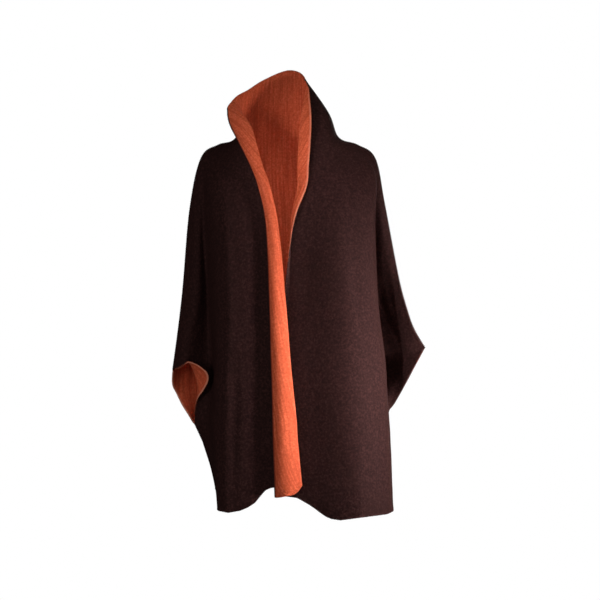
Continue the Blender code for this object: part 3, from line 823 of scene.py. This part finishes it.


# %% The two faces of the knit
# Sizes are in metres. A tone's three numbers are where it starts and is full in the noise, and its
# strength. An edge tone starts and is full at these values of a point attribute. Hollow is the colour
# of the painted shade between the stitches, and shade its strength. On the rust face, an edge tone
# above 0 is a painted highlight along its edges.
AUBERGINE_FACE = {
    "deep": AUBERGINE_DEEP, "main": AUBERGINE, "pale": WINE_FIBRE, "streak": AUBERGINE_DEEP,
    "hollow": "#150b0a", "seeds": (1.3, 4.1, 2.2), "tuft_size": 0.0048, "streak_size": (0.0055, 0.09),
    "tufts": (0.3, 0.62), "heather": (0.52, 0.82, 0.4), "streaks": (0.4, 0.65, 0.22), "shade": 0.35,
    "edges": (("open_edge", 0.003, 0.0, 0.25, WINE_FIBRE),),
    "relief": 0.45, "Specular IOR Level": 0.03, "Sheen Weight": 0.025, "Sheen Roughness": 0.45,
    "Sheen Tint": linear("#b07a72"),
}
RUST_FACE = {
    "deep": RUST_DEEP, "main": RUST, "pale": RUST_PALE, "streak": "#ab4022",
    "hollow": "#8c3419", "seeds": (2.6, 7.7, 5.2), "tuft_size": 0.0046, "streak_size": (0.0045, 0.11),
    "tufts": (0.26, 0.62), "heather": (0.56, 0.8, 0.2), "streaks": (0.36, 0.64, 0.5), "shade": 0.3,
    "edges": (("edge_tone", 0.0, 1.0, 1.0, RUST_PALE), ("edge_tone", 0.0, -1.0, 1.0, AUBERGINE_DEEP)),
    "relief": 0.22, "Specular IOR Level": 0.06, "Sheen Weight": 0.07, "Sheen Roughness": 0.5,
    "Sheen Tint": linear("#ffc9ae"),
}


def toned(tree, yarn, noise_value, start, full, strength, colour):
    """The yarn with one more tone over it."""
    share = worked(tree, "MULTIPLY", between(tree, noise_value, start, full), strength)
    return mixed(tree, share, yarn, linear(colour))


def lambswool(name, look):
    """Steamed jersey of heathered wool: matt, with specks, faint wales and a soft nap and sheen."""
    material = bpy.data.materials.new(name)
    material.use_nodes = True
    tree = material.node_tree
    shader = tree.nodes["Principled BSDF"]
    height = knit_height(tree)
    fibres = spots(tree, FIBRE_SIZE, 3.0, look["seeds"][0])
    tufts = spots(tree, look["tuft_size"], 2.0, look["seeds"][1])
    wales = streaks(tree, *look["streak_size"], look["seeds"][2])
    yarn = mixed(tree, between(tree, tufts, *look["tufts"]), linear(look["deep"]), linear(look["main"]))
    yarn = toned(tree, yarn, tufts, *look["heather"], look["pale"])
    yarn = toned(tree, yarn, wales, *look["streaks"], look["streak"])
    # painted shade: the grooves between stitches are darkened towards the hollow colour
    yarn = toned(tree, yarn, height, 1.0, 0.0, look["shade"], look["hollow"])
    for attribute, *tone in look["edges"]:
        edge = add_node(tree, "ShaderNodeAttribute", {"attribute_name": attribute}, {})
        yarn = toned(tree, yarn, edge.outputs["Fac"], *tone)
    nap = worked(tree, "MULTIPLY_ADD", fibres, NAP, height)
    bump = add_node(tree, "ShaderNodeBump", {}, {
        "Strength": look["relief"], "Distance": RELIEF, "Height": nap})
    tree.links.new(yarn, shader.inputs["Base Color"])
    tree.links.new(bump.outputs[0], shader.inputs["Normal"])
    tree.links.new(between(tree, fibres, -1.6, 1.3), shader.inputs["Roughness"])
    for label in ("Specular IOR Level", "Sheen Weight", "Sheen Roughness", "Sheen Tint"):
        shader.inputs[label].default_value = look[label]
    return material


faces = [
    lambswool("aubergine_lambswool_jersey_steamed", AUBERGINE_FACE),
    lambswool("rust_lambswool_jersey_steamed", RUST_FACE),
]
for panel in panels.values():
    for face in faces:
        panel.data.materials.append(face)
print("materials:", [face.name for face in faces])

# %% [markdown]
# ## Linked edges and seams
# A knitted panel is finished by linking: a loop of yarn is worked over its edge every few mm, and
# two panels are joined by short stitches that arch over the seam. Each stitch is the same, so
# Geometry Nodes make one and set it at every place along the edge. The places, with the directions
# along and out from the edge, come from the wall's border. On the lapel, the hem, the vents and the
# left cuff the loops are aubergine. On the other front edge, the collar and the right cuff they are
# rust.

# %% Places for the stitches
LINK_PITCH, SEAM_PITCH = 3.4, 4.2


def border_kind(name, i, j):
    """What the border is here: lapel, front edge, collar, hem, vent, right cuff, left cuff or seam."""
    rows, columns = grids[name].shape[:2]
    if j == 0 and name != "back":
        return "lapel" if name == "right_front" else "front edge"
    if i in (0, rows - 1):
        return "hem" if i == 0 else "collar"
    if sewn[i]:
        return "seam"
    if row_sections[i] < VENT_TOP:
        return "vent"
    return "left cuff" if name == "left_front" or (name == "back" and j > 0) else "right cuff"


def stitch_places(name, kinds, pitch):
    """Evenly spaced places on the border where it is one of these kinds: place, along, out, normal."""
    centre, out, normal, loop = borders[name]
    steps = np.linalg.norm(np.diff(centre, axis=0), axis=1)
    along = np.concatenate([[0.0], np.cumsum(steps)])
    found = []
    for target in np.arange(pitch / 2, along[-1], pitch):
        k = int(np.searchsorted(along, target)) - 1
        here = [border_kind(name, *loop[k]), border_kind(name, *loop[k + 1])]
        if any(kind not in kinds for kind in here):
            continue
        share = (target - along[k]) / max(steps[k], 1e-6)
        place, away, up = (v[k] * (1 - share) + v[k + 1] * share for v in (centre, out, normal))
        found.append((place, unit(centre[k + 1] - centre[k]), unit(away), unit(up)))
    return found


def marked_points(name, places, offset):
    """A mesh of loose points that carry the directions along the edge and out from it."""
    mesh = bpy.data.meshes.new(name)
    points = [(p + out * offset + up * offset) * MM for p, along, out, up in places]
    mesh.from_pydata([tuple(point) for point in points], [], [])
    for column, label in enumerate(("along", "out"), start=1):
        values = np.array([place[column] for place in places], np.float32)
        mesh.attributes.new(label, "FLOAT_VECTOR", "POINT").data.foreach_set("vector", values.ravel())
    return mesh


dark_kinds, rust_kinds = ("lapel", "hem", "vent", "left cuff"), ("front edge", "collar", "right cuff")
dark_places = [p for name in grids for p in stitch_places(name, dark_kinds, LINK_PITCH)]
rust_places = [p for name in grids for p in stitch_places(name, rust_kinds, LINK_PITCH)]
fronts = ("right_front", "left_front")
seam_places = [p for name in fronts for p in stitch_places(name, ("seam",), SEAM_PITCH)]
print("stitches: dark", len(dark_places), "rust", len(rust_places), "seam", len(seam_places))

# %% A node tree that sets one stitch at every place
LOOP_ROUND, LOOP_START = 0.7, math.radians(-126)
BRIDGE_FOOT, BRIDGE_TOP = -0.0003, 0.0011
STITCH_SIZES, STITCH_SEED = (0.88, 1.12), 5


def stitch_tree(name, shape):
    """Shape is loop, which goes over an edge, or bridge, which arches over a seam."""
    tree = bpy.data.node_groups.new(name, "GeometryNodeTree")
    tree.interface.new_socket("Geometry", in_out="INPUT", socket_type="NodeSocketGeometry")
    for label in ("Yarn", "Reach", "Slant"):
        tree.interface.new_socket(label, in_out="INPUT", socket_type="NodeSocketFloat")
    tree.interface.new_socket("Material", in_out="INPUT", socket_type="NodeSocketMaterial")
    tree.interface.new_socket("Geometry", in_out="OUTPUT", socket_type="NodeSocketGeometry")
    given = tree.nodes.new("NodeGroupInput").outputs
    if shape == "loop":
        path = add_node(tree, "GeometryNodeCurveSpiral", {}, {
            "Resolution": 10, "Rotations": LOOP_ROUND, "Start Radius": given["Reach"],
            "End Radius": given["Reach"], "Height": given["Slant"]})
        path = add_node(tree, "GeometryNodeTransform", {}, {
            "Geometry": path.outputs[0], "Rotation": (0.0, 0.0, LOOP_START)})
    else:
        ends = []
        for side in (-1, 1):
            ends.append(add_node(tree, "ShaderNodeCombineXYZ", {}, {
                0: worked(tree, "MULTIPLY", given["Reach"], side),
                1: BRIDGE_FOOT,
                2: worked(tree, "MULTIPLY", given["Slant"], side)}).outputs[0])
        path = add_node(tree, "GeometryNodeCurveQuadraticBezier", {}, {
            "Resolution": 6, "Start": ends[0], "Middle": (0.0, BRIDGE_TOP, 0.0), "End": ends[1]})
    ring = add_node(tree, "GeometryNodeCurvePrimitiveCircle", {}, {
        "Resolution": 5, "Radius": given["Yarn"]})
    stitch = add_node(tree, "GeometryNodeCurveToMesh", {}, {
        "Curve": path.outputs[0], "Profile Curve": ring.outputs[0], "Fill Caps": True})
    vector = {"data_type": "FLOAT_VECTOR"}
    along = add_node(tree, "GeometryNodeInputNamedAttribute", vector, {"Name": "along"})
    out = add_node(tree, "GeometryNodeInputNamedAttribute", vector, {"Name": "out"})
    axes = {"primary_axis": "Z", "secondary_axis": "X"}
    turn = add_node(tree, "FunctionNodeAxesToRotation", axes, {
        "Primary Axis": along.outputs[0], "Secondary Axis": out.outputs[0]})
    seeded = add_node(tree, "FunctionNodeRandomValue", {"data_type": "FLOAT"}, {
        2: STITCH_SIZES[0], 3: STITCH_SIZES[1], "Seed": STITCH_SEED})
    set_stitches = add_node(tree, "GeometryNodeInstanceOnPoints", {}, {
        "Points": given["Geometry"], "Instance": stitch.outputs[0],
        "Rotation": turn.outputs[0], "Scale": seeded.outputs[1]})
    real = add_node(tree, "GeometryNodeRealizeInstances", {}, {0: set_stitches.outputs[0]})
    smooth = add_node(tree, "GeometryNodeSetShadeSmooth", {}, {0: real.outputs[0]})
    dressed = add_node(tree, "GeometryNodeSetMaterial", {}, {
        "Geometry": smooth.outputs[0], "Material": given["Material"]})
    add_node(tree, "NodeGroupOutput", {}, {0: dressed.outputs[0]})
    return tree


def stitched(name, points, tree, inputs):
    """Runs the tree on the marked points and keeps the result as a plain mesh."""
    piece = bpy.data.objects.new(name, points)
    bpy.context.scene.collection.objects.link(piece)
    modifier = piece.modifiers.new("stitches", "NODES")
    modifier.node_group = tree
    for item in tree.interface.items_tree:
        if item.in_out == "INPUT" and item.name in inputs:
            modifier[item.identifier] = inputs[item.name]
    bpy.context.view_layer.update()
    graph = bpy.context.evaluated_depsgraph_get()
    shown = piece.evaluated_get(graph)
    piece_mesh = bpy.data.meshes.new_from_object(shown, preserve_all_data_layers=True, depsgraph=graph)
    piece.modifiers.remove(modifier)
    piece.data = piece_mesh
    print(name, len(piece_mesh.polygons), "faces")
    return piece


# %% The yarn of the stitches
def stitch_yarn(name, colour, deep):
    """Two-ply wool yarn, matt, a little darker in fine random specks."""
    material = bpy.data.materials.new(name)
    material.use_nodes = True
    tree = material.node_tree
    shader = tree.nodes["Principled BSDF"]
    fibres = spots(tree, 0.0009, 2.0, 0.4)
    yarn = mixed(tree, between(tree, fibres, 0.35, 0.65), linear(deep), linear(colour))
    tree.links.new(yarn, shader.inputs["Base Color"])
    bump = add_node(tree, "ShaderNodeBump", {}, {"Strength": 0.4, "Distance": 0.0002, "Height": fibres})
    tree.links.new(bump.outputs[0], shader.inputs["Normal"])
    shader.inputs["Roughness"].default_value = 0.95
    shader.inputs["Specular IOR Level"].default_value = 0.06
    return material


LINK = {"Yarn": 0.00045, "Reach": 0.00175, "Slant": 0.0016}
BRIDGE = {"Yarn": 0.0004, "Reach": 0.0022, "Slant": 0.0007}
loop_tree = stitch_tree("loop over an edge", "loop")
bridge_tree = stitch_tree("bridge over a seam", "bridge")
dark_yarn = stitch_yarn("aubergine_two_ply_wool_yarn", "#3f2726", "#2c1a1a")
rust_yarn = stitch_yarn("rust_two_ply_wool_yarn", "#dd7453", "#b9512f")
links = []
for name, places, offset, tree, sizes, yarn in (
    ("dark_edge_links", dark_places, 0.0, loop_tree, LINK, dark_yarn),
    ("rust_edge_links", rust_places, 0.0, loop_tree, LINK, rust_yarn),
    ("seam_links", seam_places, WALL / 2, bridge_tree, BRIDGE, dark_yarn),
):
    points = marked_points(name, places, offset)
    links.append(stitched(name, points, tree, {**sizes, "Material": yarn}))

# %% [markdown]
# ## The frame
# Each panel stands for one solid of the part, which then isn't drawn. A cape has no joints, so
# every piece rides on the root.

# %% Panels on their solids
for name, panel in panels.items():
    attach(panel, "root")
    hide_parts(name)
for piece in links:
    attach(piece, "root")

# %% [markdown]
# ## Studio
# The cape hangs in front of white paper. A narrow soft light stands well to the right and low, so
# that the front rounds from dark to light and the lapel throws a shadow to its left. Weaker ones
# stand at the left, by the camera and above, and two narrow beams reach the left sleeve and the
# collar. A small lamp in the open neck lifts the rust face deep in the hollow, as is done when
# garments are photographed with nobody in them, and one more lights the back. The paper glows by
# itself for the camera only, so that it is white all round and throws no light on the wool.

# %% White paper, lights and camera
def glowing_paper():
    material = bpy.data.materials.new("white_studio_paper")
    material.use_nodes = True
    tree = material.node_tree
    tree.nodes.clear()
    glow = add_node(tree, "ShaderNodeEmission", {}, {"Color": (1.0, 1.0, 1.0, 1.0), "Strength": 1.0})
    add_node(tree, "ShaderNodeOutputMaterial", {}, {"Surface": glow.outputs[0]})
    return material


def paper(name, mesh_maker, **place):
    mesh_maker(**place)
    piece = bpy.context.object
    piece.name = name
    piece.data.materials.append(paper_material)
    piece.visible_diffuse = piece.visible_glossy = piece.visible_shadow = False


paper_material = glowing_paper()
add_ball, add_disc = bpy.ops.mesh.primitive_uv_sphere_add, bpy.ops.mesh.primitive_circle_add
paper("studio_wall", add_ball, radius=9.0, segments=48, ring_count=24)
paper("studio_floor", add_disc, radius=6.0, fill_type="NGON", location=(0, 0, -1.3))

# Each light's name, place, size, power in watts, what it points at, and its spread in degrees.
LIGHTS = (
    ("key_light", (2.6, -1.36, -0.57), (0.6, 0.6), 5.0, (0.05, 0.0, -0.55), 24.0),
    ("left_light", (-1.7, -2.3, -0.3), (1.0, 1.0), 2.2, (-0.1, 0.0, -0.4), 60.0),
    ("sleeve_light", (-0.9, -2.5, -0.45), (0.1, 0.5), 0.2, (0.37, 0.05, -0.42), 6.5),
    ("collar_light", (-1.5, -2.1, 0.1), (0.1, 0.3), 0.11, (0.08, -0.05, -0.03), 8.0),
    ("front_light", (0.1, -2.9, 0.1), (1.6, 1.6), 8.0, (0.03, 0.0, -0.3), 180.0),
    ("top_light", (0.3, -1.5, 2.0), (0.8, 0.8), 2.0, (0.0, 0.0, -0.2), 180.0),
    ("hollow_light", (0.0, -0.08, -0.16), (0.04, 0.2), 0.1, (0.03, 1.0, -0.14), 180.0),
    ("back_light", (0.4, 2.8, 0.3), (1.8, 1.8), 60.0, (0.03, 0.0, -0.4), 180.0),
)
for name, place, size, power, aim, spread in LIGHTS:
    lamp = bpy.data.lights.new(name, "AREA")
    lamp.spread = math.radians(spread)
    lamp.shape, lamp.size, lamp.size_y = "RECTANGLE", size[0], size[1]
    lamp.energy = power
    light = bpy.data.objects.new(name, lamp)
    light.location = place
    light.rotation_euler = (Vector(aim) - Vector(place)).to_track_quat("-Z", "Y").to_euler()
    bpy.context.scene.collection.objects.link(light)

world = bpy.data.worlds.new("studio_air")
world.use_nodes = True
world.node_tree.nodes["Background"].inputs["Color"].default_value = (1.0, 0.98, 0.97, 1.0)
world.node_tree.nodes["Background"].inputs["Strength"].default_value = 0.02
bpy.context.scene.world = world
bpy.context.scene.view_settings.view_transform = "Standard"

lens = bpy.data.cameras.new("camera")
lens.lens, lens.sensor_width = 65.0, 36.0
camera = bpy.data.objects.new("camera", lens)
camera.location = (EYE_ACROSS * MM, -EYE_DISTANCE * MM, EYE_UP * MM)
camera.rotation_euler = (math.radians(90), 0, 0)
bpy.context.scene.collection.objects.link(camera)
bpy.context.scene.camera = camera
print("lights:", len(LIGHTS), "camera", round(EYE_DISTANCE * MM, 2), "m in front")
